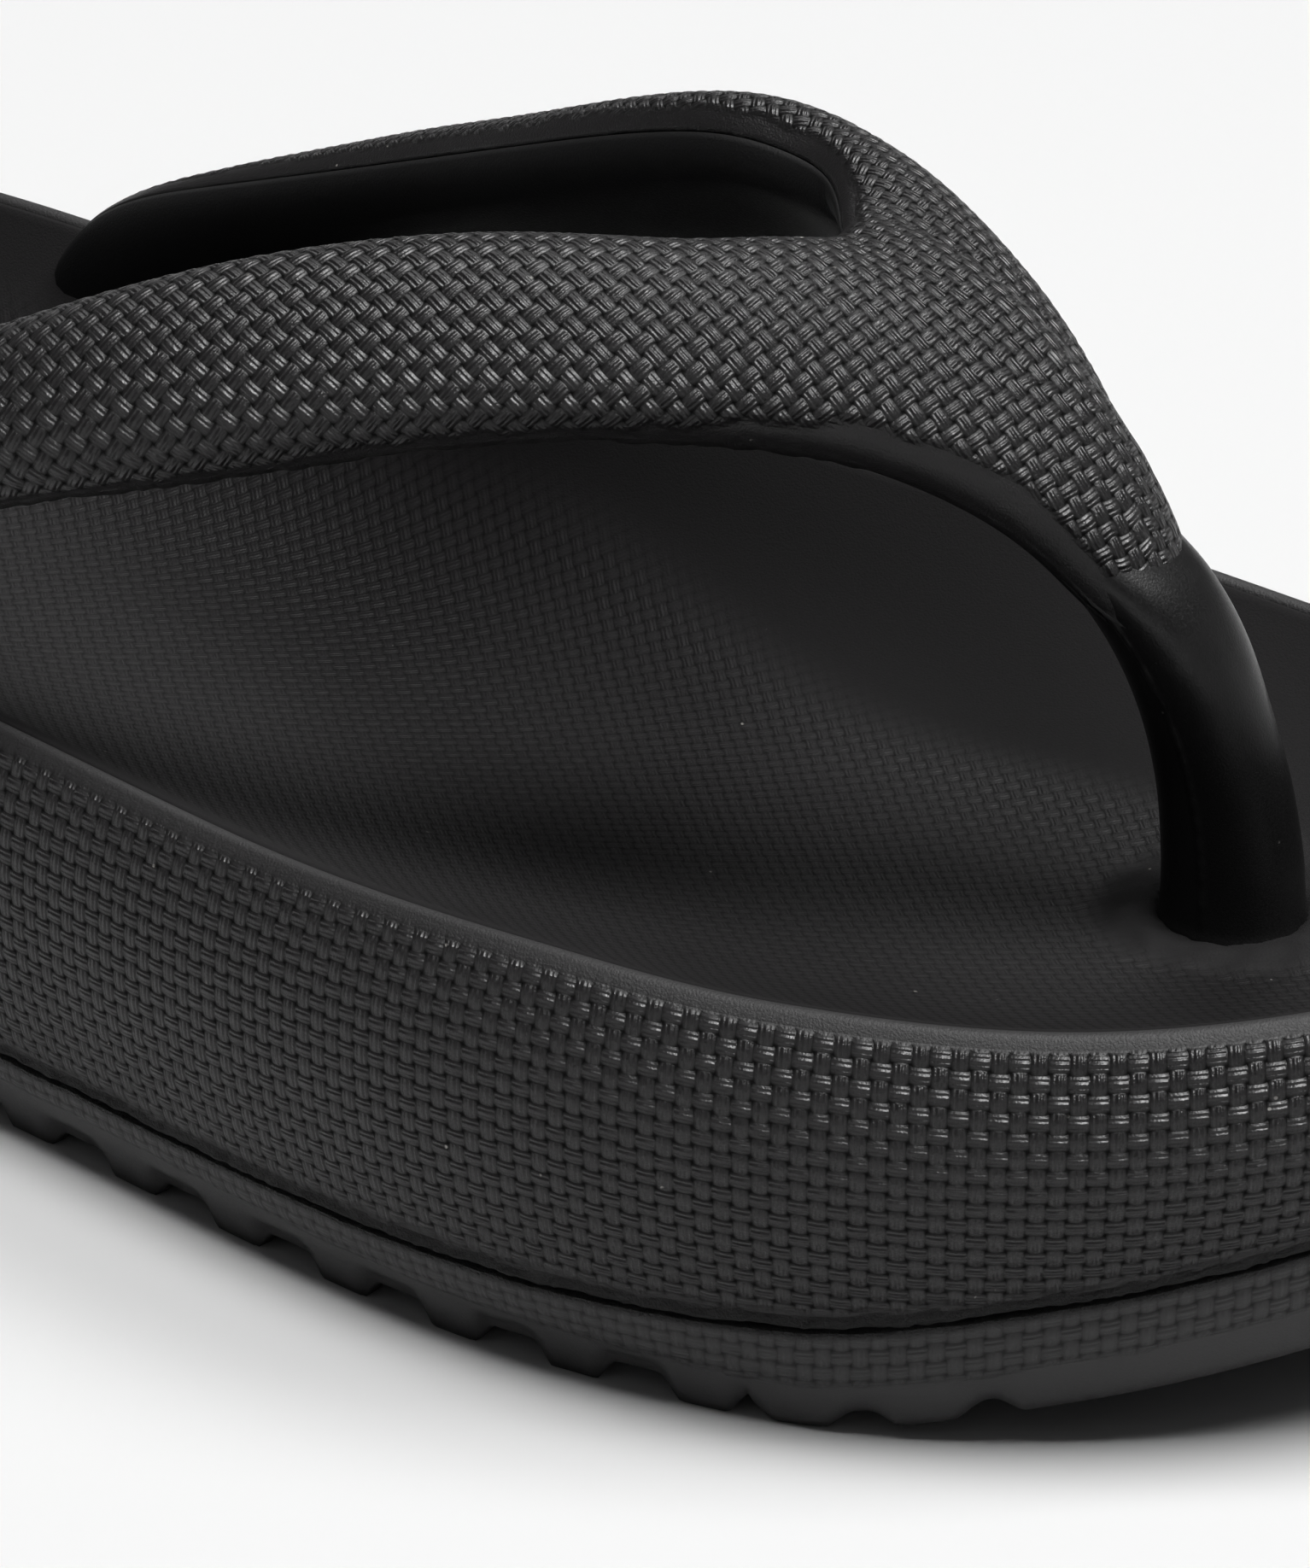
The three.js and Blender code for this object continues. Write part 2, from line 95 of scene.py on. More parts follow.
# Heights along the sole: share of the length from the heel, then millimetres.
RIM_OUTER = [
    (0, 45.4), (0.15, 45.8), (0.3, 42.2), (0.45, 39.4), (0.6, 38.1), (0.72, 38.3), (0.8, 36.8),
    (0.88, 35.8), (0.96, 37.3), (1, 38.4),
]
RIM_INNER = [
    (0, 45.4), (0.15, 48), (0.3, 49.3), (0.45, 46.6), (0.6, 42.8), (0.72, 37.8), (0.8, 35.6),
    (0.88, 35.8), (0.96, 37.7), (1, 38.4),
]
DISH = [
    (0, 8), (0.15, 7.5), (0.3, 7.6), (0.45, 6.4), (0.6, 3), (0.72, 0.6), (0.83, 0), (0.92, 2.4),
    (1, 6),
]
TOE_SPRING = [(0, 0.6), (0.05, 0), (0.8, 0), (0.88, 3.6), (0.96, 9), (1, 12)]


# ---------------------------------------------------------------- shape helpers

def smooth(a, b, x):
    """0 below a, 1 above b, and an easy curve between."""
    t = np.clip((x - a) / (b - a), 0, 1)
    return t * t * (3 - 2 * t)


def along(table, share):
    """A smooth height through a table's points."""
    x, z = np.array(table, float).T
    slopes = np.array([(z[min(k + 1, len(x) - 1)] - z[max(k - 1, 0)])
                       / (x[min(k + 1, len(x) - 1)] - x[max(k - 1, 0)]) for k in range(len(x))])
    t = np.clip(share, x[0], x[-1])
    i = np.clip(np.searchsorted(x, t, side="left") - 1, 0, len(x) - 2)
    step = x[i + 1] - x[i]
    u = (t - x[i]) / step
    rise = u * u * (3 - 2 * u)
    leave = u * (1 - u) ** 2 * step * slopes[i]
    arrive = u * u * (u - 1) * step * slopes[i + 1]
    return z[i] + (z[i + 1] - z[i]) * rise + leave + arrive


def spline(points, closed):
    """A curve without kinks through the points, as a function of the knots it also gives."""
    p = np.array(points, float)
    if closed:
        p = np.vstack([p, p[:1]])
    count = len(p)
    h = np.linalg.norm(np.diff(p, axis=0), axis=1) ** 0.5
    knots = np.concatenate([[0], np.cumsum(h)])
    a = np.zeros((count, count))
    b = np.zeros_like(p)
    for k in range(1, count - 1):
        a[k, k - 1:k + 2] = h[k - 1], 2 * (h[k - 1] + h[k]), h[k]
        b[k] = 6 * ((p[k + 1] - p[k]) / h[k] - (p[k] - p[k - 1]) / h[k - 1])
    if closed:
        a[0, [0, 1, count - 2]] = 2 * (h[0] + h[-1]), h[0], h[-1]
        b[0] = 6 * ((p[1] - p[0]) / h[0] - (p[0] - p[-2]) / h[-1])
        a[-1, 0], a[-1, -1] = 1, -1
    else:
        a[0, 0] = a[-1, -1] = 1
    m = np.linalg.solve(a, b)

    def at(t):
        t = np.clip(t, knots[0], knots[-1])
        i = np.clip(np.searchsorted(knots, t, side="right") - 1, 0, count - 2)
        s, w = (t - knots[i])[:, None], h[i][:, None]
        r = w - s
        return ((m[i] * r ** 3 + m[i + 1] * s ** 3) / (6 * w)
                + (p[i] / w - m[i] * w / 6) * r + (p[i + 1] / w - m[i + 1] * w / 6) * s)
    return at, knots


def lengths(line):
    """Distance along a line of points, from its start."""
    return np.concatenate([[0], np.cumsum(np.linalg.norm(np.diff(line, axis=0), axis=1))])


def ragged(distance, step, seed, loop=None):
    """A smooth random line of about unit height, with a value every so many millimetres."""
    rng = np.random.default_rng(seed)
    total = loop or float(np.max(distance)) + step
    count = max(4, int(round(total / step)))
    values = rng.uniform(-1, 1, count)
    place = np.asarray(distance) / total * count
    i = np.floor(place).astype(int)
    f = place - i
    f = f * f * (3 - 2 * f)
    return values[i % count] * (1 - f) + values[(i + 1) % count] * f


def weave_height(u, v):
    """Height of a plain weave at a place counted in threads, from 0 in a gap to about 1."""
    fu, fv = np.abs(2 * (u % 1) - 1), np.abs(2 * (v % 1) - 1)
    over = (np.floor(u) + np.floor(v)) % 2 == 0
    a, b = np.where(over, fu, fv), np.where(over, fv, fu)
    own = np.sqrt(1 - THREAD_ROUND * b * b) * (1 - THREAD_DIP * a * a)
    reach = 2 - b
    guest = (np.sqrt(1 - THREAD_ROUND * a * a) * (1 - THREAD_DIP * reach * reach)
             * (1 - smooth(*TUCK, reach)))
    return np.maximum(own, guest)


def weave_lift(relief, u, v):
    """How far the weave lifts the surface, in millimetres, where it is moulded in."""
    return relief * THREAD_RISE * (weave_height(u, v) - THREAD_MIDDLE)


def turned(flat, angle):
    """Flat places, seen from axes that are turned by an angle."""
    return np.stack([flat[..., 0] * math.cos(angle) + flat[..., 1] * math.sin(angle),
                     flat[..., 1] * math.cos(angle) - flat[..., 0] * math.sin(angle)], 2)


def outward(points):
    """Unit normals of a grid of points: the way along its rows crossed with the way down."""
    du = np.gradient(points, axis=1)
    dv = np.gradient(points, axis=0)
    n = np.cross(du, dv)
    return n / np.maximum(np.linalg.norm(n, axis=2, keepdims=True), 1e-9)


def sheet(name, points, uv=None, marks=None):
    """A piece from a grid primitive whose rows and columns are laid at the given points.

    Its UV map counts the threads of the weave. Marks are named values at each point. Edges
    that meet are joined, and the faces are turned outwards.
    """
    rows, columns = points.shape[:2]
    bpy.ops.object.select_all(action="DESELECT")
    bpy.ops.mesh.primitive_grid_add(x_subdivisions=columns - 1, y_subdivisions=rows - 1, size=1)
    piece = bpy.context.object
    piece.name = piece.data.name = name
    mesh = piece.data
    mesh.vertices.foreach_set("co", (points * MM).reshape(-1))
    if uv is not None:
        corners = np.empty(len(mesh.loops), int)
        mesh.loops.foreach_get("vertex_index", corners)
        mesh.uv_layers[0].data.foreach_set("uv", uv.reshape(-1, 2)[corners].reshape(-1))
    for mark, values in (marks or {}).items():
        layer = mesh.attributes.new(mark, "FLOAT", "POINT")
        layer.data.foreach_set("value", np.broadcast_to(values, (rows, columns)).reshape(-1))
    mesh.update()
    bpy.ops.object.mode_set(mode="EDIT")
    bpy.ops.mesh.select_all(action="SELECT")
    bpy.ops.mesh.remove_doubles(threshold=2e-6)
    bpy.ops.mesh.dissolve_degenerate(threshold=1e-6)
    bpy.ops.mesh.normals_make_consistent(inside=False)
    bpy.ops.object.mode_set(mode="OBJECT")
    bpy.ops.object.shade_smooth()
    return piece


# ---------------------------------------------------------------- the sole's rings

SIDE_COLUMNS = 600  # along each side of the sole
FOOTBED_COLUMNS = 450
FINE_STEPS = 4000  # along a side, to space its columns evenly
WALL_ROWS = 62
WEAVE_TOP = 1.1, 1.5  # where the weave comes in, in millimetres below the lip
WEAVE_BOTTOM = 1.2, 2.2  # where it goes out, in millimetres above the bond line
FIRST_THREAD = 1.35
TORN_RIDGE = 0.28  # how far the torn foam stands out above the bond line
WIDEST = 0.42  # share of the way down the sidewall where it is widest
UPPER_CURVE, LOWER_CURVE = 2.2, 2  # how late it curves in, above and below that


def sole_ring(side_columns):
    """Points round the sole's widest outline, from the tip of the toe round the outer side.

    With each point go its way inwards, the point of the spine that it faces, and the heights
    of the rim, the footbed and the toe's spring there.
    """
    def at(share, across):
        return across * SOLE_WIDTH, (0.5 - share) * SOLE_LENGTH

    outer = [at(share, -out) for share, out, _ in OUTLINE]
    inner = [at(share, into) for share, _, into in reversed(OUTLINE)]
    path, knots = spline([at(1, TOE_ACROSS), *outer, at(0, HEEL_ACROSS), *inner], True)
    heel = knots[len(OUTLINE) + 1]
    edge = []
    for start, stop in ((knots[0], heel), (heel, knots[-1])):
        fine = np.linspace(start, stop, FINE_STEPS)
        run = lengths(path(fine))
        places = np.interp(np.linspace(0, run[-1], side_columns + 1), run, fine)
        edge.append(path(places))
    edge = np.vstack([edge[0], edge[1][1:]])
    run = lengths(edge)
    looped = np.vstack([edge[-2], edge, edge[1]])
    tangent = looped[2:] - looped[:-2]
    tangent /= np.linalg.norm(tangent, axis=1, keepdims=True)
    inward = np.stack([tangent[:, 1], -tangent[:, 0]], 1)
    if (inward[0] @ (edge[side_columns] - edge[0])) < 0:
        inward = -inward
    count = np.arange(2 * side_columns + 1)
    step = np.where(count <= side_columns, count, 2 * side_columns - count) / side_columns
    spine_share = SPINE_TOE - (SPINE_TOE - SPINE_HEEL) * step
    turn = np.clip((spine_share - SPINE_BEND) / (1 - SPINE_BEND), 0, None)
    spine = np.stack([(HEEL_ACROSS + (TOE_ACROSS - HEEL_ACROSS) * turn) * SOLE_WIDTH,
                      (0.5 - spine_share) * SOLE_LENGTH], 1)
    share = 0.5 - edge[:, 1] / SOLE_LENGTH
    rim = np.where(count <= side_columns, along(RIM_OUTER, share), along(RIM_INNER, share))
    threads = 2 * round(run[-1] / THREAD / 2)
    return {
        "edge": edge, "inward": inward, "spine": spine, "share": share, "rim": rim,
        "outer": count <= side_columns, "run": run, "round": run * (threads * THREAD / run[-1]),
        "dish": FOOTBED_HEIGHT + along(DISH, spine_share), "spring": along(TOE_SPRING, share),
        "spine_spring": along(TOE_SPRING, spine_share),
    }


def ring_row(ring, inset, height, lerp=0.0):
    """One row of points: inside the outline, then some share of the way to the spine."""
    flat = ring["edge"] + ring["inward"] * np.reshape(inset, (-1, 1))
    flat = flat * (1 - lerp) + ring["spine"] * lerp
    return np.column_stack([flat, np.broadcast_to(height, len(flat))])


def bond_height(ring):
    """Height of the bond line at each point of the ring."""
    return BOND_HEIGHT + ring["spring"]


def wall_normals(ring, points, row):
    """Normals of a sole layer's points, turned so that the given wall row's point outwards."""
    normals = outward(points)
    if np.mean(np.sum(normals[row, :, :2] * ring["inward"], axis=1)) > 0:
        return -normals
    return normals


def distance_down(points, start):
    """Distance down each column of a grid of points, from the start row."""
    steps = np.linalg.norm(np.diff(points, axis=0), axis=2)
    down = np.concatenate([np.zeros((1, points.shape[1])), np.cumsum(steps, axis=0)])
    return down - down[start]


def wall_row(ring, w):
    """A row of the sidewall, from the rim (0) down to the bond line (1)."""
    above = RIM_INSET * np.clip(1 - w / WIDEST, 0, None) ** UPPER_CURVE
    below = BOND_INSET * np.clip((w - WIDEST) / (1 - WIDEST), 0, None) ** LOWER_CURVE
    inset = np.where(w < WIDEST, above, below)
    return ring_row(ring, inset, ring["rim"] + (bond_height(ring) + BOND_GAP - ring["rim"]) * w)


def dish_row(ring, share, depth):
    """A row of the dish, some share of the way from the rim to the spine, at a depth in it."""
    height = ring["dish"] + (ring["rim"] - ring["dish"]) * (1 - share) ** DISH_POWER
    return ring_row(ring, RIM_INSET + LIP_WIDTH, height - depth, share)


def make_midsole():
    """The foam body: the pocket for the footbed, the rim's lip, the woven wall and the base."""
    ring = sole_ring(SIDE_COLUMNS)
    run = ring["round"]
    loop = run[-1]
    pocket = FOOTBED_THICKNESS + FIT_GAP
    edge = RIM_INSET + LIP_WIDTH
    rim = ring["rim"]
    rows = [dish_row(ring, s, pocket) for s in (1, 0.75, 0.5, 0.25, 0.1, 0.02)]
    lip = [(edge, -pocket), (edge, -2.2), (edge, -0.75), (edge - 0.08, -0.4), (edge - 0.3, -0.12),
           (edge - 0.65, 0), (edge - 1.0, 0), (edge - 1.3, -0.08), (edge - 1.55, -0.32)]
    rows += [ring_row(ring, inset, rim + drop) for inset, drop in lip]
    top = len(rows)
    torn_edge = 0.07 * ragged(run, 0.9, 3, loop) + 0.09 * ragged(run, 3.1, 4, loop)
    rows += [wall_row(ring, w) for w in np.linspace(0.035, 0.995, WALL_ROWS)]
    bottom = len(rows)
    under = bond_height(ring) + BOND_GAP
    rows += [ring_row(ring, BOND_INSET + 0.5, under + 0.05)]
    rows += [ring_row(ring, BOND_INSET + 1.6, under)]
    base = BOND_HEIGHT + BOND_GAP + ring["spine_spring"]
    rows += [ring_row(ring, BOND_INSET, under + (base - under) * s, s) for s in (0.1, 0.4, 0.7, 1)]
    points = np.stack(rows)

    down = distance_down(points, top - 2)
    left = down[bottom - 1] - down
    ends = 0.5 * ragged(run, 2.4, 5, loop)
    relief = smooth(*WEAVE_TOP, down) * smooth(*WEAVE_BOTTOM, left + ends)
    relief[:top] = 0
    relief[bottom:] = 0
    torn = 1 - smooth(0.9, 1.5, left + 0.35 * ragged(run, 1.3, 6, loop))
    torn[:top] = 0
    u = np.broadcast_to(run, down.shape) / THREAD
    v = (down - FIRST_THREAD) / THREAD
    points = points + wall_normals(ring, points, top + 20) * weave_lift(relief, u, v)[..., None]
    rough = torn * (0.05 * ragged(run, 0.55, 7, loop) + torn_edge)
    points[..., 2] += np.where(np.arange(len(points))[:, None] >= bottom - 4, rough, 0)
    crumbs = 1 + 0.5 * ragged(run, 0.6, 8, loop)
    proud = TORN_RIDGE * np.exp(-((left - 0.5) / 0.45) ** 2) * torn * crumbs
    points[..., :2] -= ring["inward"] * proud[..., None]
    for k in range(bottom - 3, bottom):
        sway = 0.12 * ragged(run, 0.7, 20 + k, loop)
        points[k, :, :2] += ring["inward"] * sway[:, None]
    return sheet("midsole_foam", points, np.stack([u, v], 2), {"relief": relief, "torn": torn})


BED_ROWS = 62
EDGE_DROPS = 0.3, 0.55  # how far the footbed's edge rounds over, on its last two rows
SWELL_RADIUS = 8.2  # the foam is pushed up in a ring round the post
SWELL = 0.75
CREASE = 0.16
CREASES = 13  # fine folds round the post
POST_HOLE = 5.5  # depth of the hole that the post stands in
POST_HOLE_EDGE = 4.4, 5.9
OPEN_BOND = (-54, -50), (-21, -25)  # where the bond opens and closes again, along the sole
PLAIN_BORDER = 6.5  # foam without a weave beside the outer rim
PLAIN_INNER_BORDER, PLAIN_FOREFOOT = 7, 15  # beside the inner rim, and more at the forefoot


def make_footbed():
    """The textured pad inside the rim, pushed up and creased round the post."""
    ring = sole_ring(FOOTBED_COLUMNS)
    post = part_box("toe_post")
    centre = (np.array(post[0]) + np.array(post[1]))[:2] / 2 / MM
    shares = np.concatenate([[0], np.linspace(0.004, 1, BED_ROWS) ** 1.15])
    points = np.stack([dish_row(ring, s, 0) for s in shares[::-1]])
    points[-1, :, 2] -= EDGE_DROPS[1]
    points[-2, :, 2] -= EDGE_DROPS[0]
    # The bond has opened a little beside the outer rim.
    along_sole = ring["edge"][:, 1]
    opens, closes = OPEN_BOND
    open_bond = (smooth(*opens, along_sole) * smooth(*closes, along_sole) * ring["outer"]
                 * (0.7 + 0.4 * ragged(ring["run"], 1.2, 41, ring["run"][-1])))
    points[-3:, :, 2] -= open_bond * np.array([[0.3], [0.9], [1.3]])
    around = points[..., :2] - centre
    away = np.linalg.norm(around, axis=2)
    side = np.abs(np.arctan2(around[..., 1], around[..., 0]))
    swell = SWELL * np.exp(-((away - SWELL_RADIUS) / 2.3) ** 2)
    fold = np.cos(side * CREASES + 1.5 * np.sin(away))
    crease = CREASE * np.exp(-((away - 9.5) / 3.5) ** 2) * fold
    points[..., 2] += swell + crease - POST_HOLE * (1 - smooth(*POST_HOLE_EDGE, away))
    uv = turned(points[..., :2] / FOOTBED_THREAD, WEAVE_TURN)
    inside = np.sum((points[..., :2] - ring["edge"]) * ring["inward"], axis=2)
    inner_start = PLAIN_INNER_BORDER + PLAIN_FOREFOOT * smooth(0.5, 0.76, ring["share"])
    start = np.where(ring["outer"], PLAIN_BORDER, inner_start)
    border = smooth(start, start + np.where(ring["outer"], 3, 7), inside)
    relief = border * smooth(9, 13, away)
    under = [dish_row(ring, s, FOOTBED_THICKNESS) for s in (0, 0.25, 0.5, 0.75, 1)]
    points = np.concatenate([points, np.stack(under)])

    def pad(a):
        return np.concatenate([a, np.zeros((len(under), *a.shape[1:]))])

    return sheet("footbed_foam", points, pad(uv),
                 {"relief": pad(relief), "crease": pad(np.exp(-((away - 7.5) / 3) ** 2))})


PROFILE_STEPS = 400


def side_profile(points):
    """Inset and drop below the bond line, at equal steps down the outsole's edge."""
    path, knots = spline([(inset, drop, 0) for inset, drop in points], False)
    fine = path(np.linspace(0, knots[-1], PROFILE_STEPS))
    run = lengths(fine)
    return lambda d: [np.interp(d * run[-1], run, fine[:, k]) for k in (0, 1)]


# The outsole's edge from its top down, at the side and at the toe: inset, then drop.
LOW_STRIP = [(-0.3, 0.1), (-0.15, 1.1), (0.25, 2.2), (1.2, 4), (2.4, 6.4), (3.5, 9.3)]
TALL_STRIP = [(-0.3, 0.1), (-0.3, 2.2), (-0.1, 4.4), (0.2, 6.2), (0.7, 8.2), (1.4, 9.3)]

TOE_BLEND = 0.72, 0.84  # shares of the length over which the side turns into the toe
STRIP_HEIGHT = 2.2  # of the woven strip at the side; it is higher at the toe
STRIP_GROWTH = 2.3
STRIP_BLEND = 0.5, 0.8
BLOCKS = 16
BLOCK_END = 1.8, 4.2  # from a block's middle to the groove's slope, at its start and end
TIP = -99.5, -101.5  # where the grooves fade out at the toe, along the sole
TOE_GROOVES = 0.65  # how deep they are at the toe, against the rest
TOE_GROOVE_SHARE = 0.79
EDGE_ROWS = 34


def groove_depth(along_sole):
    """0 under a tread block at the sole's edge, 1 in the groove between two blocks."""
    blocks = [*EDGE_BLOCKS, *(FIRST_BLOCK + LUG_PITCH * k for k in range(BLOCKS))]
    nearest = np.min(np.abs(along_sole[:, None] - np.array(blocks)), axis=1)
    return smooth(*BLOCK_END, nearest) * (1 - smooth(*TIP, along_sole))


def make_outsole():
    """The bonded lower unit: the woven strip, the smooth band and the ends of the grooves."""
    ring = sole_ring(SIDE_COLUMNS)
    run = ring["round"]
    loop = run[-1]
    top = bond_height(ring) - BOND_GAP
    toe = smooth(*TOE_BLEND, ring["share"])
    groove = groove_depth(ring["edge"][:, 1])
    groove *= np.where(ring["share"] > TOE_GROOVE_SHARE, TOE_GROOVES, 1)
    inner_base = BOND_HEIGHT - BOND_GAP + ring["spine_spring"]
    inner_floor = LUG_HEIGHT + ring["spine_spring"]
    rows = [ring_row(ring, BOND_INSET, top - 0.05 + (inner_base - top) * s, s)
            for s in (1, 0.6, 0.2)]
    rows += [ring_row(ring, BOND_INSET + 1.4, top - 0.1), ring_row(ring, BOND_INSET + 0.45, top)]
    first = len(rows)
    profiles = side_profile(LOW_STRIP), side_profile(TALL_STRIP)
    for d in np.linspace(0, 1, EDGE_ROWS):
        low, tall = (profile(d) for profile in profiles)
        inset, drop = (low[k] + (tall[k] - low[k]) * toe for k in (0, 1))
        lift = LUG_HEIGHT * groove * smooth(0.45, 1, d)
        rows.append(ring_row(ring, BOND_INSET + inset, top - drop + lift))
    last = len(rows)
    rows.append(ring_row(ring, BOND_INSET + inset + 1.4, rows[-1][:, 2] + 0.1))
    rows.append(ring_row(ring, BOND_INSET + inset + 2, LUG_HEIGHT + ring["spring"]))
    rows += [ring_row(ring, TREAD_MARGIN, inner_floor, s) for s in (0.15, 0.5, 0.8, 1)]
    points = np.stack(rows)
    down = distance_down(points, first)
    strip = STRIP_HEIGHT + STRIP_GROWTH * smooth(*STRIP_BLEND, ring["share"])
    wander = 0.2 * ragged(run, 2, 31, loop)
    relief = smooth(0.1, 0.5, down) * (1 - smooth(strip, strip + 0.6, down + wander))
    relief[:first] = 0
    relief[last:] = 0
    u = np.broadcast_to(run, down.shape) / THREAD
    v = (down + 0.1) / THREAD
    points = points + wall_normals(ring, points, first + 6) * weave_lift(relief, u, v)[..., None]
    points[..., 2] = np.maximum(points[..., 2], 0)  # the tread stands on the floor
    torn = 1 - smooth(0.2, 0.7, down)
    torn[:first - 1] = 0
    rough = 0.05 * ragged(run, 0.8, 33, loop) + 0.05 * ragged(run, 2.6, 34, loop)
    points[first - 1:first + 2, :, 2] += rough
    return sheet("outsole_foam", points, np.stack([u, v], 2), {"relief": relief, "torn": torn})


TREAD_SHARE = 0.77  # of the sole's length that has full blocks
LUG_TAPER = 0.9  # how much narrower a block is at the ground, on each side
LUG_FLARE = 0.4  # and how much wider where it enters the sole
LUG_ROOT = 0.3  # how far it enters
LUG_ROUNDING = 1.1
SHORTEST_LUG = 3


def main_lugs(ring):
    """The tread's blocks, each a cube drawn out to the outline and rounded."""
    edge = ring["edge"] + ring["inward"] * (TREAD_MARGIN + 1)
    sides = (edge[:SIDE_COLUMNS + 1], edge[SIDE_COLUMNS:])
    inner_edge = (GROOVE_SPACING - GROOVE_WIDTH) / 2
    outer_edge = (GROOVE_SPACING + GROOVE_WIDTH) / 2
    pieces = []
    for k in range(int(SOLE_LENGTH * TREAD_SHARE / LUG_PITCH)):
        y0 = FIRST_BLOCK - LUG_LENGTH / 2 + k * LUG_PITCH
        y1 = y0 + LUG_LENGTH
        reach = []
        for side in sides:
            order = np.argsort(side[:, 1])
            reach.append([float(np.interp(y, side[order, 1], side[order, 0])) for y in (y0, y1)])
        spans = [(reach[0], (-outer_edge,) * 2), ((-inner_edge,) * 2, (inner_edge,) * 2),
                 ((outer_edge,) * 2, reach[1])]
        for left, right in spans:
            if max(left) > min(right) - SHORTEST_LUG:
                continue
            bpy.ops.object.select_all(action="DESELECT")
            bpy.ops.mesh.primitive_cube_add(size=1)
            lug = bpy.context.object
            for vertex in lug.data.vertices:
                x, y, z = vertex.co
                far_y = y > 0
                side_x = (right if x > 0 else left)[1 if far_y else 0]
                shrink = LUG_TAPER if z < 0 else -LUG_FLARE
                vertex.co = Vector((side_x - math.copysign(shrink, x),
                                    (y1 if far_y else y0) - math.copysign(shrink, y),
                                    0.0 if z < 0 else LUG_HEIGHT + LUG_ROOT)) * MM
            pieces.append(lug)
    for lug in pieces:
        lug.select_set(True)
    bpy.context.view_layer.objects.active = pieces[0]
    bpy.ops.object.join()
    lugs = bpy.context.object
    bevel = lugs.modifiers.new("rounding", "BEVEL")
    bevel.width = LUG_ROUNDING * MM
    bevel.segments = 4
    bpy.ops.object.modifier_apply(modifier="rounding")
    bpy.ops.object.shade_smooth_by_angle(angle=math.radians(50))
    return lugs


# ---------------------------------------------------------------- strap

# Stations of the strap from the outer arm's end, round the front of the fork, to the inner
# arm's end: the edge beside the window, the middle, the outer edge, then how far the face
# swells, and how full it stays at the outer edge.
STRAP = [
    ((-29.4, 43.8, 36.4), (-30.4, 43.4, 29.0), (-29.4, 42.6, 22.6), 4, 0),
    ((-29.6, 36.6, 45.2), (-31.2, 37.6, 35.2), (-30.0, 38.4, 25.2), 5, 0),
    ((-28.0, 25.6, 53.2), (-31.7, 29.0, 44.0), (-34.0, 32.6, 35.5), 5, 0),
    ((-27.4, 13.4, 61.2), (-33.3, 16.9, 54.0), (-37.6, 19.6, 46.2), 5, 0),
    ((-26.6, -0.6, 68.4), (-33.2, 2.2, 62.6), (-38.0, 3.4, 55.4), 5, 0),
    ((-21.6, -14.0, 74.0), (-28.6, -14.0, 69.0), (-34.0, -14.4, 61.0), 5, 0),
    ((-11.4, -32.4, 77.2), (-17.6, -35.8, 73.4), (-23.4, -39.6, 67.0), 5, 0),
    ((-4.4, -43.6, 76.8), (-10.0, -48.2, 73.2), (-16.4, -50.2, 67.2), 5, 0),
    ((1.0, -48.4, 76.4), (-3.8, -55.2, 72.2), (-9.4, -59.0, 65.8), 4.9, 0),
    ((4.4, -50.0, 76.0), (1.6, -61.4, 69.4), (-3.4, -67.8, 62.2), 4.8, 0),
    ((6.6, -50.5, 75.8), (5.4, -65.0, 67.6), (1.2, -74.6, 56.6), 4.6, 0),
    ((8.2, -50.4, 75.8), (8.4, -67.0, 66.8), (5.0, -79.8, 50.4), 4.4, 0.3),
    ((9.6, -49.9, 75.8), (10.5, -67.0, 66.5), (10.6, -81.0, 49.3), 4.2, 0.7),
    ((11.0, -48.9, 75.9), (11.6, -65.0, 66.1), (14.6, -77.8, 50.3), 4.4, 0.3),
    ((12.8, -47.6, 76.1), (13.6, -62.2, 66.9), (16.4, -72.4, 56.3), 4.6, 0),
    ((15.2, -45.6, 76.5), (16.3, -57.5, 69.4), (19.1, -64.7, 62.2), 4.8, 0),
    ((17.6, -42.6, 77.0), (19.2, -51.5, 71.6), (22.4, -56.5, 63.8), 4.9, 0),
    ((19.0, -37.8, 77.4), (22.0, -44.2, 72.7), (25.8, -47.8, 64.7), 5, 0),
    ((19.2, -30.2, 77.2), (23.7, -34.6, 73.1), (28.3, -38.0, 64.3), 5, 0),
    ((21.6, -11.0, 71.2), (26.8, -11.7, 65.8), (31.8, -12.9, 57.9), 5, 0),
    ((24.2, 1.6, 66.4), (29.8, 3.1, 60.2), (34.4, 4.3, 52.6), 5, 0),
    ((26.2, 14.6, 61.6), (31.6, 16.8, 54.4), (35.4, 19.4, 46.6), 5, 0),
    ((27.8, 28.4, 56.7), (31.6, 30.2, 48.1), (33.4, 33.6, 38.9), 5, 0),
    ((28.6, 41.6, 50.1), (30.4, 40.6, 39.9), (30.4, 40.6, 29.9), 5, 0),
    ((29.4, 48.4, 39.6), (30.6, 46.4, 32.4), (30.4, 44.6, 25.4), 4, 0),
]
STRAP_COLUMNS, STRAP_ROWS = 560, 61
STRAP_STEPS = 3000  # along it, to space its columns evenly
BULGE_WEIGHT, FULL_WEIGHT = 4, 12  # against the millimetres that the stations are spaced by


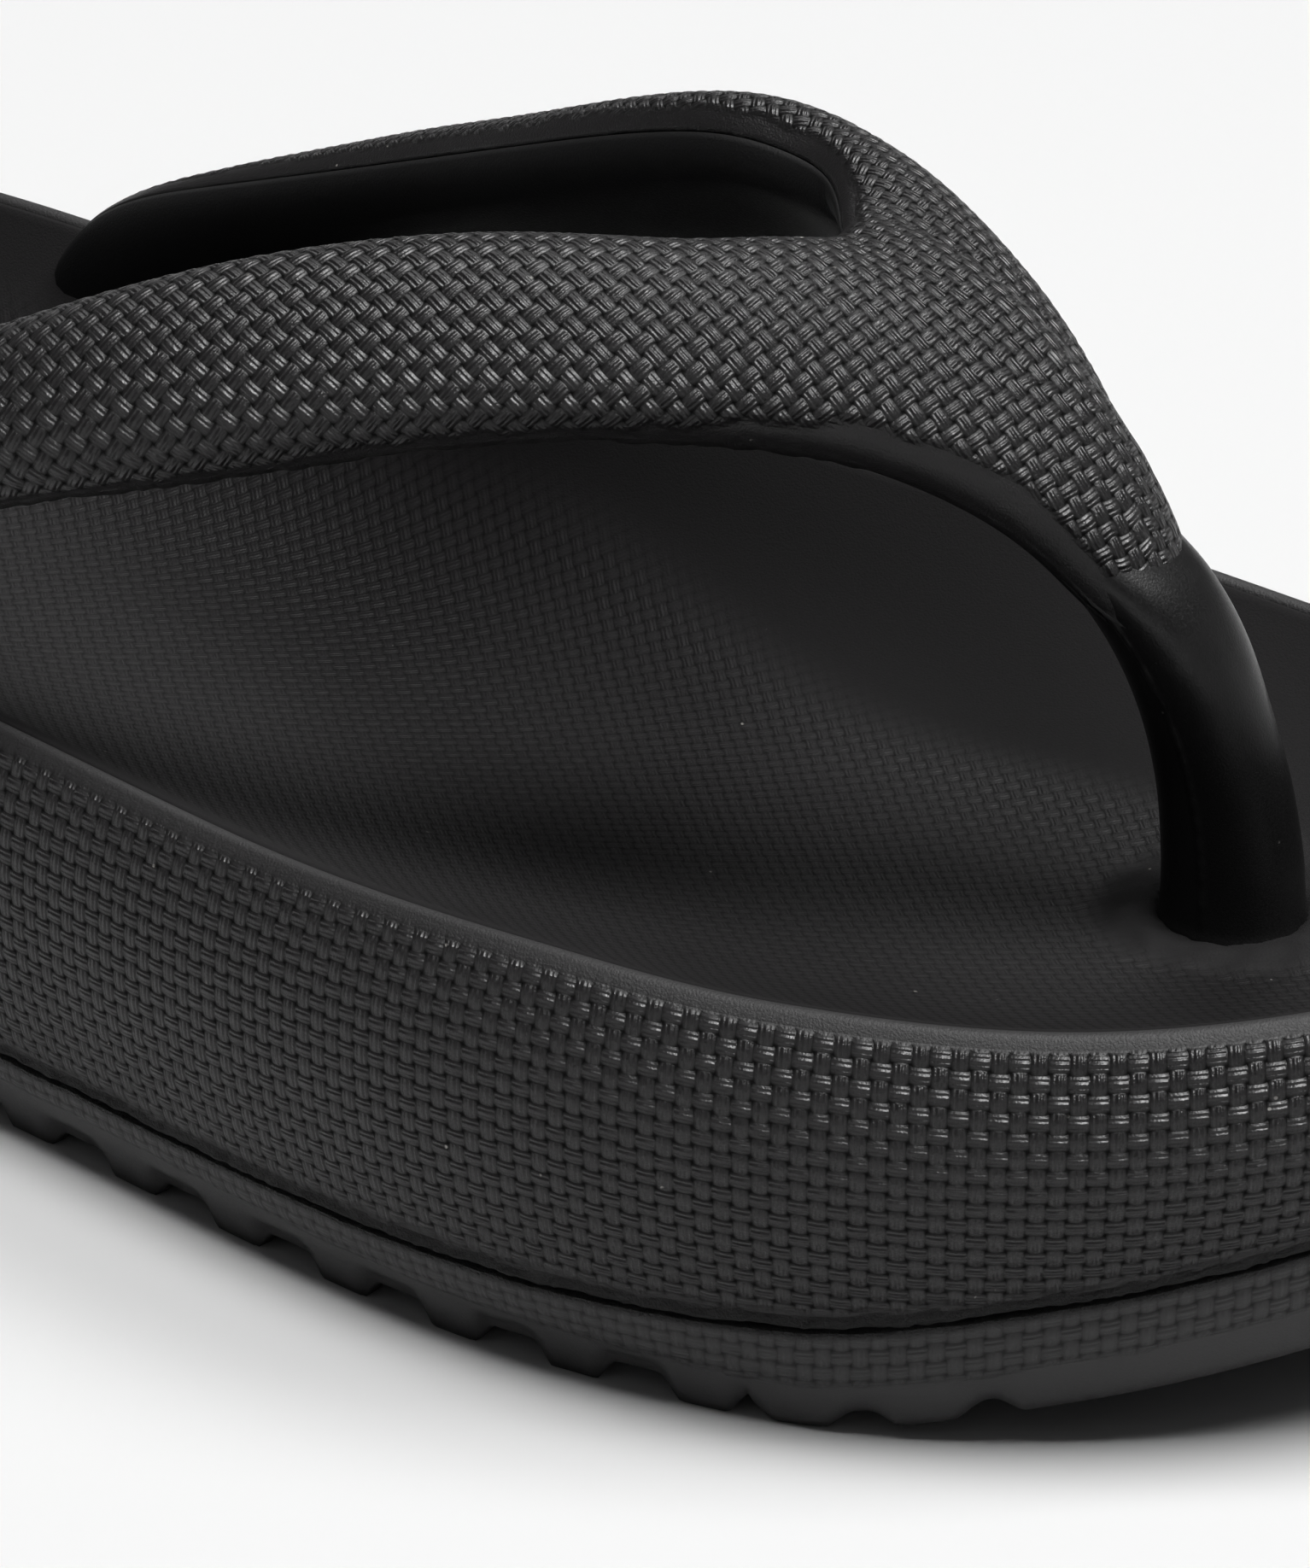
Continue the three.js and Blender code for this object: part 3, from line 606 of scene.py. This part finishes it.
def strap_ribbon(columns, rows):
    """The strap's parting surface, from the window edge (row 0) to the outer edge."""
    flat = np.array([[*window, *middle, *outer, bulge * BULGE_WEIGHT, full * FULL_WEIGHT]
                     for window, middle, outer, bulge, full in STRAP])
    path, knots = spline(flat, False)
    fine = np.linspace(0, knots[-1], STRAP_STEPS)
    run = lengths(path(fine)[:, 3:9] / math.sqrt(2))
    line = path(np.interp(np.linspace(0, run[-1], columns), run, fine))
    window, middle, outer = line[:, 0:3], line[:, 3:6], line[:, 6:9]
    v = np.linspace(0, 1, rows)[:, None, None]
    knee = 2 * middle - (window + outer) / 2
    points = window * (1 - v) ** 2 + 2 * knee * v * (1 - v) + outer * v * v
    return points, line[:, 9] / BULGE_WEIGHT, line[:, 10] / FULL_WEIGHT


def strap_surfaces():
    """The parting surface, its normals and the swollen face over it, on the same grid."""
    rows = STRAP_ROWS
    points, bulge, full = strap_ribbon(STRAP_COLUMNS, rows)
    out = outward(points)
    if out[rows // 2, 60, 0] > 0:  # on the outer arm the face looks to the outer side
        out = -out
    # Across the ribbon: rows crowd towards the edges, where the face rolls over.
    angle = np.linspace(0, math.pi, rows)
    across = 0.5 - 0.5 * np.sign(np.cos(angle)) * np.abs(np.cos(angle)) ** 0.85
    place = across * (rows - 1)
    low = np.clip(np.floor(place).astype(int), 0, rows - 2)
    mix = (place - low)[:, None, None]
    base = points[low] * (1 - mix) + points[low + 1] * mix
    normal = out[low] * (1 - mix) + out[low + 1] * mix
    rise = (np.sin(angle) ** 0.8)[:, None]
    rise = np.where((angle < math.pi / 2)[:, None], rise, np.maximum(rise, full[None, :]))
    return base, normal, base + normal * (rise * bulge)[..., None]


def flatten(points):
    """Lay a grid of points out flat with Blender's unwrap, in millimetres and level."""
    rows, columns = points.shape[:2]
    piece = sheet("flat_pattern", points)
    bpy.ops.object.mode_set(mode="EDIT")
    bpy.ops.mesh.select_all(action="SELECT")
    bpy.ops.uv.unwrap(method="ANGLE_BASED", margin=0)
    bpy.ops.object.mode_set(mode="OBJECT")
    mesh = piece.data
    corners = np.empty(len(mesh.loops), int)
    mesh.loops.foreach_get("vertex_index", corners)
    laid = np.empty(2 * len(corners))
    mesh.uv_layers[0].data.foreach_get("uv", laid)
    flat = np.zeros((rows * columns, 2))
    flat[corners] = laid.reshape(-1, 2)
    flat = flat.reshape(rows, columns, 2)
    bpy.data.objects.remove(piece)
    middle = rows // 2
    real = lengths(points[middle])[-1]
    flat *= real / lengths(flat[middle])[-1]
    return flat


ROW_SKIP, COLUMN_SKIP = 4, 7  # the flat pattern is laid on every so many rows and columns
WINDOW_MARGIN = 1.6  # plain foam beside the window
OUTER_MARGIN = 1.0  # and along the outer edge
FRONT_MARGIN = 3.2  # more of it on the outer side of the tongue
COVER_GAP = 0.15  # between the cover and the parting surface
FLASH = 0.25  # ridge that the mould's parting line leaves


def make_cover():
    """The strap's woven outer skin; the parting surface and its normals come with it."""
    base, normal, face = strap_surfaces()
    rows, columns = face.shape[:2]
    coarse = flatten(face[::ROW_SKIP, ::COLUMN_SKIP])
    grid_r, grid_c = np.arange(rows) / ROW_SKIP, np.arange(columns) / COLUMN_SKIP
    uv = np.zeros((rows, columns, 2))
    for k in (0, 1):
        along_rows = np.stack([np.interp(grid_c, np.arange(coarse.shape[1]), line)
                               for line in coarse[..., k]])
        uv[..., k] = np.stack([np.interp(grid_r, np.arange(coarse.shape[0]), line)
                               for line in along_rows.T]).T
    arm = uv[rows // 2, columns // 5] - uv[rows // 2, columns // 12]
    uv = turned(uv, math.atan2(arm[1], arm[0]) - WEAVE_TURN) / STRAP_THREAD
    cross = np.linalg.norm(np.diff(face, axis=0), axis=2)
    from_window = np.concatenate([np.zeros((1, columns)), np.cumsum(cross, axis=0)])
    from_outer = from_window[-1] - from_window
    run = lengths(face[rows // 2])
    margin = OUTER_MARGIN + FRONT_MARGIN * np.exp(-((run - 0.485 * run[-1]) / 20) ** 2)
    margin -= FRONT_MARGIN * np.exp(-((run - 0.53 * run[-1]) / 7) ** 2)
    edge = 0.5 * ragged(run, 2.2, 51)
    relief = (smooth(0, 0.9, from_window - WINDOW_MARGIN - edge * 0.5)
              * smooth(0, 0.9, from_outer - margin - edge))
    shell = outward(face)
    if np.mean(np.sum(shell * normal, axis=2)) < 0:
        shell = -shell
    face = face + shell * weave_lift(relief, uv[..., 0], uv[..., 1])[..., None]
    index = (np.linspace(0.9, 0.1, 7) * (rows - 1)).astype(int)
    back = np.stack([base[k] + normal[k] * COVER_GAP for k in index])
    # The parting line leaves a thin, uneven ridge along the strap's outer edge.
    away = base[-1] - base[-6]
    away /= np.linalg.norm(away, axis=1, keepdims=True)
    ridge = FLASH + 0.12 * ragged(run, 0.8, 61) + 0.15 * ragged(run, 4, 62)
    face[-1] += away * ridge[:, None]
    points = closed_tube(np.concatenate([face, back, face[:1]]))
    ends = len(CAP_STEPS)

    def pad(a):
        return np.pad(a, [(0, len(index) + 1), (ends, ends)] + [(0, 0)] * (a.ndim - 2))

    cover = sheet("strap_cover_foam", points, pad(uv), {"relief": pad(relief)})
    return cover, base, normal


CAP_STEPS = [(0.03, 0.25), (0.1, 0.4), (0.5, 0.42), (1, 0.42)]  # share shrunk, then push out


def closed_tube(points):
    """A tube's columns with both of its ends closed: a small rounding, then a flat cap."""
    def cap(first, second):
        middle = first[:-1].mean(0)
        out = (first - second).mean(0)
        out /= np.linalg.norm(out)
        return [first + (middle - first) * shrink + out * push for shrink, push in CAP_STEPS]

    start = cap(points[:, 0], points[:, 1])[::-1]
    stop = cap(points[:, -1], points[:, -2])
    return np.concatenate([np.stack(start, 1), points, np.stack(stop, 1)], axis=1)


LINING_THICKNESS = 3.4
LINING_ROWS = 25
LINING_GAP = 0.1  # between the parting surface and the lining


def make_lining(base, normal):
    """The smooth inner layer, which swells away from the cover's parting surface."""
    place = np.linspace(0, len(base) - 1, LINING_ROWS).astype(int)
    inner = base[place]
    n = normal[place]
    depth = LINING_THICKNESS * np.sin(np.linspace(0, math.pi, LINING_ROWS)) ** 0.9
    back = inner - n * (depth + LINING_GAP)[:, None, None]
    front = inner[::-1][1:-1] - n[::-1][1:-1] * LINING_GAP
    points = closed_tube(np.concatenate([back, front, back[:1]]))
    return sheet("strap_lining_foam", points)


# ---------------------------------------------------------------- toe post

POST = [  # height, centre across, centre along, half width, half depth
    (3.2, 13.0, -85.5, 10.8, 10.8), (4.0, 13.0, -85.5, 11.0, 11.0), (5.4, 13.0, -85.5, 11.0, 11.0),
    (5.8, 13.0, -85.5, 10.6, 10.6), (6.4, 13.0, -85.5, 5.4, 6.2), (19.0, 13.0, -85.6, 5.2, 6.1),
    (22.5, 13.0, -85.6, 5.6, 6.4), (23.6, 13.0, -85.6, 5.4, 6.3), (25.0, 13.0, -85.6, 5.0, 5.9),
    (30.0, 12.9, -85.4, 4.8, 5.7), (36.0, 12.6, -84.6, 4.7, 5.4), (42.0, 12.0, -83.1, 4.9, 5.1),
    (48.0, 11.0, -81.0, 5.7, 4.9), (53.0, 9.6, -78.3, 6.2, 4.8), (57.0, 8.2, -75.0, 6.4, 4.4),
    (60.0, 7.8, -72.8, 6.2, 4.0),
]
PLUG_STATIONS = 4  # of the post, before its neck
POST_COLUMNS, NECK_ROWS = 241, 150
POST_FLASH = 0.2


def make_post():
    """The plug under the sole, the oval post and the lean of its top into the strap."""
    height, *others = np.array(POST, float).T
    neck = np.linspace(height[PLUG_STATIONS], height[-1], NECK_ROWS)
    level = np.concatenate([height[:PLUG_STATIONS], neck])
    x, y, w, d = (along(np.column_stack([height, column]), level) for column in others)
    turn = np.linspace(0, 2 * math.pi, POST_COLUMNS)
    square = 1 - 0.15 * smooth(6, 8, level)[:, None]
    c = np.sign(np.cos(turn)) * np.abs(np.cos(turn)) ** square
    s = np.sign(np.sin(turn)) * np.abs(np.sin(turn)) ** square
    # The mould's two halves leave a thin, uneven ridge down both sides.
    side = np.minimum(np.abs(turn - math.pi), np.minimum(turn, 2 * math.pi - turn))
    ridge = (POST_FLASH + 0.09 * ragged(level, 0.6, 71) + 0.1 * ragged(level, 2.3, 72))[:, None]
    grow = ridge * np.exp(-(side / 0.035) ** 2) * smooth(24, 27, level)[:, None]
    points = np.stack([x[:, None] + (w[:, None] + grow) * c, y[:, None] + d[:, None] * s,
                       np.repeat(level[:, None], len(turn), axis=1)], 2)

    def cap(row, k):
        return (row * (1 - k) + row.mean(0) * k)[None]

    points = np.concatenate([cap(points[0], 1), cap(points[0], 0.5), points,
                             cap(points[-1], 0.5), cap(points[-1], 1)])
    return sheet("toe_post_foam", points)


# ---------------------------------------------------------------- make the pieces

midsole = make_midsole()
footbed = make_footbed()
outsole = make_outsole()
lugs = main_lugs(sole_ring(SIDE_COLUMNS))
cover, ribbon, ribbon_out = make_cover()
lining = make_lining(ribbon, ribbon_out)
post = make_post()

bpy.ops.object.select_all(action="DESELECT")
lugs.select_set(True)
outsole.select_set(True)
bpy.context.view_layer.objects.active = outsole
bpy.ops.object.join()

PLACES = [
    (midsole, "midsole", "sidewall_foam"),
    (footbed, "footbed", "footbed_foam"),
    (outsole, "outsole", "outsole_foam"),
    (cover, "strap_cover", "strap_foam"),
    (lining, "strap_lining", "lining_foam"),
    (post, "toe_post", "post_foam"),
]
for piece, node, slot in PLACES:
    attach(piece, "root")
    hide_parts(node)


# ---------------------------------------------------------------- materials

class Wire:
    """A shader socket that takes part in ordinary sums."""

    def __init__(self, tree, socket=None):
        self.tree, self.socket = tree, socket

    def add(self, kind, settings=None, sockets=None, out=0):
        """A node of a type, its settings, then the values or links of its sockets."""
        node = self.tree.nodes.new(kind)
        for name, value in (settings or {}).items():
            setattr(node, name, value)
        for name, value in (sockets or {}).items():
            if isinstance(value, Wire):
                self.tree.links.new(value.socket, node.inputs[name])
            else:
                node.inputs[name].default_value = value
        return Wire(self.tree, node.outputs[out] if node.outputs else None)

    def sum(self, operation, *values):
        """A Math node on numbers or wires."""
        return self.add("ShaderNodeMath", {"operation": operation}, dict(enumerate(values)))

    def __add__(self, other):
        return self.sum("ADD", self, other)

    def __sub__(self, other):
        return self.sum("SUBTRACT", self, other)

    def __rsub__(self, other):
        return self.sum("SUBTRACT", other, self)

    def __mul__(self, other):
        return self.sum("MULTIPLY", self, other)

    __radd__, __rmul__ = __add__, __mul__

    def ease(self, start, stop):
        """0 at the start, 1 at the stop, and an easy curve between."""
        return self.add("ShaderNodeMapRange", {"interpolation_type": "SMOOTHSTEP"},
                        {"Value": self, "From Min": start, "From Max": stop})


LINE_TURN = 9.4  # radians from a thread's middle to its edge: three fine lines across it


def wire_weave(wire):
    """The moulded weave's height and its fine lengthwise lines, from the piece's own UV map."""
    laid = wire.add("ShaderNodeUVMap", {"uv_map": "UVMap"})
    u = wire.add("ShaderNodeSeparateXYZ", sockets={0: laid})
    v = Wire(u.tree, u.socket.node.outputs[1])
    fu = u.sum("ABSOLUTE", u.sum("FRACT", u) * 2 - 1)
    fv = v.sum("ABSOLUTE", v.sum("FRACT", v) * 2 - 1)
    cells = u.sum("FLOOR", u) + u.sum("FLOOR", v)
    under = u.sum("MULTIPLY", u.sum("FRACT", cells * 0.5), 2)
    a = fu + (fv - fu) * under
    b = fv + (fu - fv) * under
    own = u.sum("SQRT", 1 - b * b * THREAD_ROUND) * (1 - a * a * THREAD_DIP)
    reach = 2 - b
    guest = (u.sum("SQRT", 1 - a * a * THREAD_ROUND) * (1 - reach * reach * THREAD_DIP)
             * (1 - reach.ease(*TUCK)))
    lines = u.sum("COSINE", b * LINE_TURN) * (1 - b.ease(0.4, 0.7))
    return u.sum("MAXIMUM", own, guest), lines


OBJECT_PLACE = 3  # output of a Texture Coordinate node
VALUE = 2  # output of an Attribute node
COLOUR = 2  # output of a Mix node
SKIN_SCALE, PATCH_SCALE, CRUMB_SCALE = 5200.0, 55.0, 2600.0
SPECK_SCALE, SPECK_CHANCE_SCALE = 420.0, 300.0
SPECK_SIZE = 0.05, 0.085
SPECK_CHANCE = 0.62, 0.66
LINT = (0.32, 0.31, 0.29, 1)
# Painted shade: a near-black matte colour laid into the weave's gaps, between the heights below.
PAINTED_PIT_SHADE = (0.003, 0.003, 0.003, 1)
PIT_SHADE_DEPTH = 0.34, 0.72  # heights of the weave between which a gap turns into thread
AVERAGE_THREAD = 0.75  # height of the weave that keeps the plain foam's colour

# How much each of these changes the roughness, the height or the colour.
SKIN_SHINE, PATCH_SHINE, GAP_SHINE, CREASE_SHINE = 0.3, 0.08, 0.2, 0.16
LINE_HEIGHT, TORN_HEIGHT = 0.12, 0.9
# The thread and torn tones are painted shade: darker weave gaps with lighter thread tops, and a
# darker torn band along the bond line between the pieces.
PATCH_TONE, THREAD_SHADE_TONE, TORN_SHADE_TONE = 0.4, 0.9, 0.45


def foam(name, colour, roughness, weave=0.0, grain=0.05, torn=False, dust=0.0, crease=False,
         gloss=0.42, smooth_skin=0.0, pit_shade=0.85):
    """Moulded closed-cell foam: dark, with a fine skin, and the weave where it is moulded in.

    The weave and the grain are heights in millimetres. The smooth skin is the roughness that
    foam without a weave has on top of the rest. pit_shade is how strongly a black matte
    layer fills the weave's gaps: painted shade. The weave also paints its gaps darker and
    its thread tops lighter, and torn foam is painted darker: painted shade and light.
    """
    material = bpy.data.materials.new(name)
    material.use_nodes = True
    tree = material.node_tree
    tree.nodes.clear()
    wire = Wire(tree)
    place = wire.add("ShaderNodeTexCoord", out=OBJECT_PLACE)

    def noise(scale, **more):
        return wire.add("ShaderNodeTexNoise", sockets={"Vector": place, "Scale": scale, **more})

    def mark(attribute):
        return wire.add("ShaderNodeAttribute", {"attribute_name": attribute}, out=VALUE)

    skin = noise(SKIN_SCALE, Detail=3.0)
    patches = noise(PATCH_SCALE, Detail=2.0)
    height = skin * grain
    shine = roughness + (skin - 0.5) * SKIN_SHINE + (patches - 0.5) * PATCH_SHINE
    tone = 1 + (patches - 0.5) * PATCH_TONE
    if weave:
        relief = mark("relief")
        threads, lines = wire_weave(wire)
        height = height + relief * (threads * weave + lines * weave * LINE_HEIGHT)
        shine = shine + relief * (1 - threads) * GAP_SHINE + (1 - relief) * smooth_skin
        # Painted shade and light: the weave's gaps are darker and the thread tops lighter.
        tone = tone * (1 + relief * (threads - AVERAGE_THREAD) * THREAD_SHADE_TONE)
    if torn:
        tear = mark("torn")
        crumbs = noise(CRUMB_SCALE, Detail=4.0, Roughness=0.7)
        height = height + tear * crumbs * TORN_HEIGHT
        # Painted shade: the torn foam along the bond line is made darker.
        tone = tone * (1 - tear * TORN_SHADE_TONE)
    if crease:
        shine = shine - mark("crease") * CREASE_SHINE
    black = wire.add("ShaderNodeMix", {"data_type": "RGBA", "blend_type": "MULTIPLY"},
                     {0: 1.0, 6: (*colour, 1), 7: tone}, out=COLOUR)
    if dust:
        specks = wire.add("ShaderNodeTexVoronoi", sockets={"Vector": place, "Scale": SPECK_SCALE})
        chance = noise(SPECK_CHANCE_SCALE)
        spot = (1 - specks.ease(*SPECK_SIZE)) * chance.ease(*SPECK_CHANCE) * dust
        black = wire.add("ShaderNodeMix", {"data_type": "RGBA"},
                         {0: spot, 6: black, 7: LINT}, out=COLOUR)
    bump = wire.add("ShaderNodeBump", sockets={"Height": height, "Strength": 1.0,
                                               "Distance": 1.0 * MM})
    shader = wire.add("ShaderNodeBsdfPrincipled",
                      sockets={"Base Color": black, "Roughness": shine, "Normal": bump,
                               "Specular IOR Level": gloss})
    if weave:
        # Painted shade: a black matte layer mixed into the weave's gaps, where they would lie in
        # shade.
        gaps = relief * (1 - threads.ease(*PIT_SHADE_DEPTH)) * pit_shade
        painted_shade_layer = wire.add("ShaderNodeBsdfPrincipled",
                       sockets={"Base Color": PAINTED_PIT_SHADE, "Roughness": 1.0,
                                "Specular IOR Level": 0.0})
        shader = wire.add("ShaderNodeMixShader", sockets={0: gaps, 1: shader, 2: painted_shade_layer})
    wire.add("ShaderNodeOutputMaterial", sockets={"Surface": shader})
    return material


BLACK = (0.0112, 0.0105, 0.011)
FINISHES = {
    midsole: foam("sidewall foam", BLACK, 0.37, weave=0.48, grain=0.08, torn=True, dust=1.0,
                  gloss=0.4, smooth_skin=0.3),
    footbed: foam("footbed foam", (0.0112, 0.0106, 0.011), 0.5, weave=0.16, grain=0.06, dust=1.0,
                  crease=True, gloss=0.13, smooth_skin=0.45, pit_shade=0.35),
    outsole: foam("outsole foam", (0.0215, 0.021, 0.0215), 0.48, weave=0.22, grain=0.03, torn=True,
                  dust=0.6, pit_shade=0.4),
    cover: foam("strap foam", BLACK, 0.38, weave=0.46, grain=0.08, dust=1.0),
    # The lining's colour is set well below the other foam's: painted shade under the strap.
    lining: foam("lining foam", (0.003, 0.003, 0.0032), 0.62, grain=0.05, gloss=0.25),
    post: foam("post foam", (0.0068, 0.0066, 0.0068), 0.36, grain=0.02, dust=0.6, gloss=0.4),
}
for piece, material in FINISHES.items():
    piece.data.materials.clear()
    piece.data.materials.append(material)

nylon = foam("hard nylon", (0.02, 0.02, 0.021), 0.35, grain=0.02)
for node in ("toe_post_washer", "lateral_strap_anchor", "medial_strap_anchor"):
    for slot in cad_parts[node].material_slots:
        slot.material = nylon


# ---------------------------------------------------------------- floor, light and camera

FLOOR_SIZE = 8
FLOOR_GREY = (0.86, 0.86, 0.86, 1)
ROOM_GREY = (0.93, 0.93, 0.93, 1)
ROOM_LIGHT = 0.06
SOFTBOX_SIZE = 1.1
SOFTBOX_DISTANCE = 2.6
SANDAL_MIDDLE = (0, -0.03, 0.04)

bpy.ops.object.select_all(action="DESELECT")
bpy.ops.mesh.primitive_plane_add(size=FLOOR_SIZE, location=(0, 0, 0))
floor = bpy.context.object
floor.name = "studio_floor"
paper = bpy.data.materials.new("floor paper")
paper.use_nodes = True
paper_sockets = paper.node_tree.nodes["Principled BSDF"].inputs
paper_sockets["Base Color"].default_value = FLOOR_GREY
paper_sockets["Roughness"].default_value = 1.0
paper_sockets["Specular IOR Level"].default_value = 0.0
floor.data.materials.append(paper)

world = bpy.data.worlds.new("studio")
world.use_nodes = True
world.node_tree.nodes["Background"].inputs["Color"].default_value = ROOM_GREY
world.node_tree.nodes["Background"].inputs["Strength"].default_value = ROOM_LIGHT
bpy.context.scene.world = world


def softbox(name, toward, radiance, matte=True, shine=True):
    """A square soft light that faces the sandal from a direction.

    It may leave out matte surfaces or mirrored light, as flags and polarising sheets do.
    """
    way = Vector(toward).normalized()
    data = bpy.data.lights.new(name, "AREA")
    data.shape = "SQUARE"
    data.size = SOFTBOX_SIZE
    data.energy = radiance * math.pi * SOFTBOX_SIZE ** 2
    lamp = bpy.data.objects.new(name, data)
    bpy.context.collection.objects.link(lamp)
    lamp.matrix_world = (Matrix.Translation(Vector(SANDAL_MIDDLE) + way * SOFTBOX_DISTANCE)
                         @ way.to_track_quat("Z", "Y").to_matrix().to_4x4())
    lamp.visible_diffuse = matte
    lamp.visible_glossy = shine


softbox("overhead_softbox", (-0.16, 0.12, 1.0), 13.6, shine=False)
softbox("key_softbox", (0.3, -0.44, 0.86), 7.8, shine=False)
softbox("key_sheen", (0.14, -0.4, 0.9), 48.0, matte=False)
softbox("side_sheen", (-0.4, -0.05, 0.9), 3.0, matte=False)
softbox("back_sheen", (0.62, 0.42, 0.66), 3.4, matte=False)

LENS = 222.36
CAMERA_PLACE = (-491.63, -374.96, 311.99)
CAMERA_LOOKS = (0.745054, 0.509879, -0.430020)

camera_data = bpy.data.cameras.new("camera")
camera_data.sensor_fit = "HORIZONTAL"
camera_data.sensor_width = 36
camera_data.lens = LENS
camera_data.clip_start = 0.05
camera = bpy.data.objects.new("camera", camera_data)
bpy.context.collection.objects.link(camera)
forward = Vector(CAMERA_LOOKS).normalized()
camera.matrix_world = (Matrix.Translation(Vector(CAMERA_PLACE) * MM)
                       @ (-forward).to_track_quat("Z", "Y").to_matrix().to_4x4())
bpy.context.scene.camera = camera
bpy.context.scene.view_settings.view_transform = "Standard"
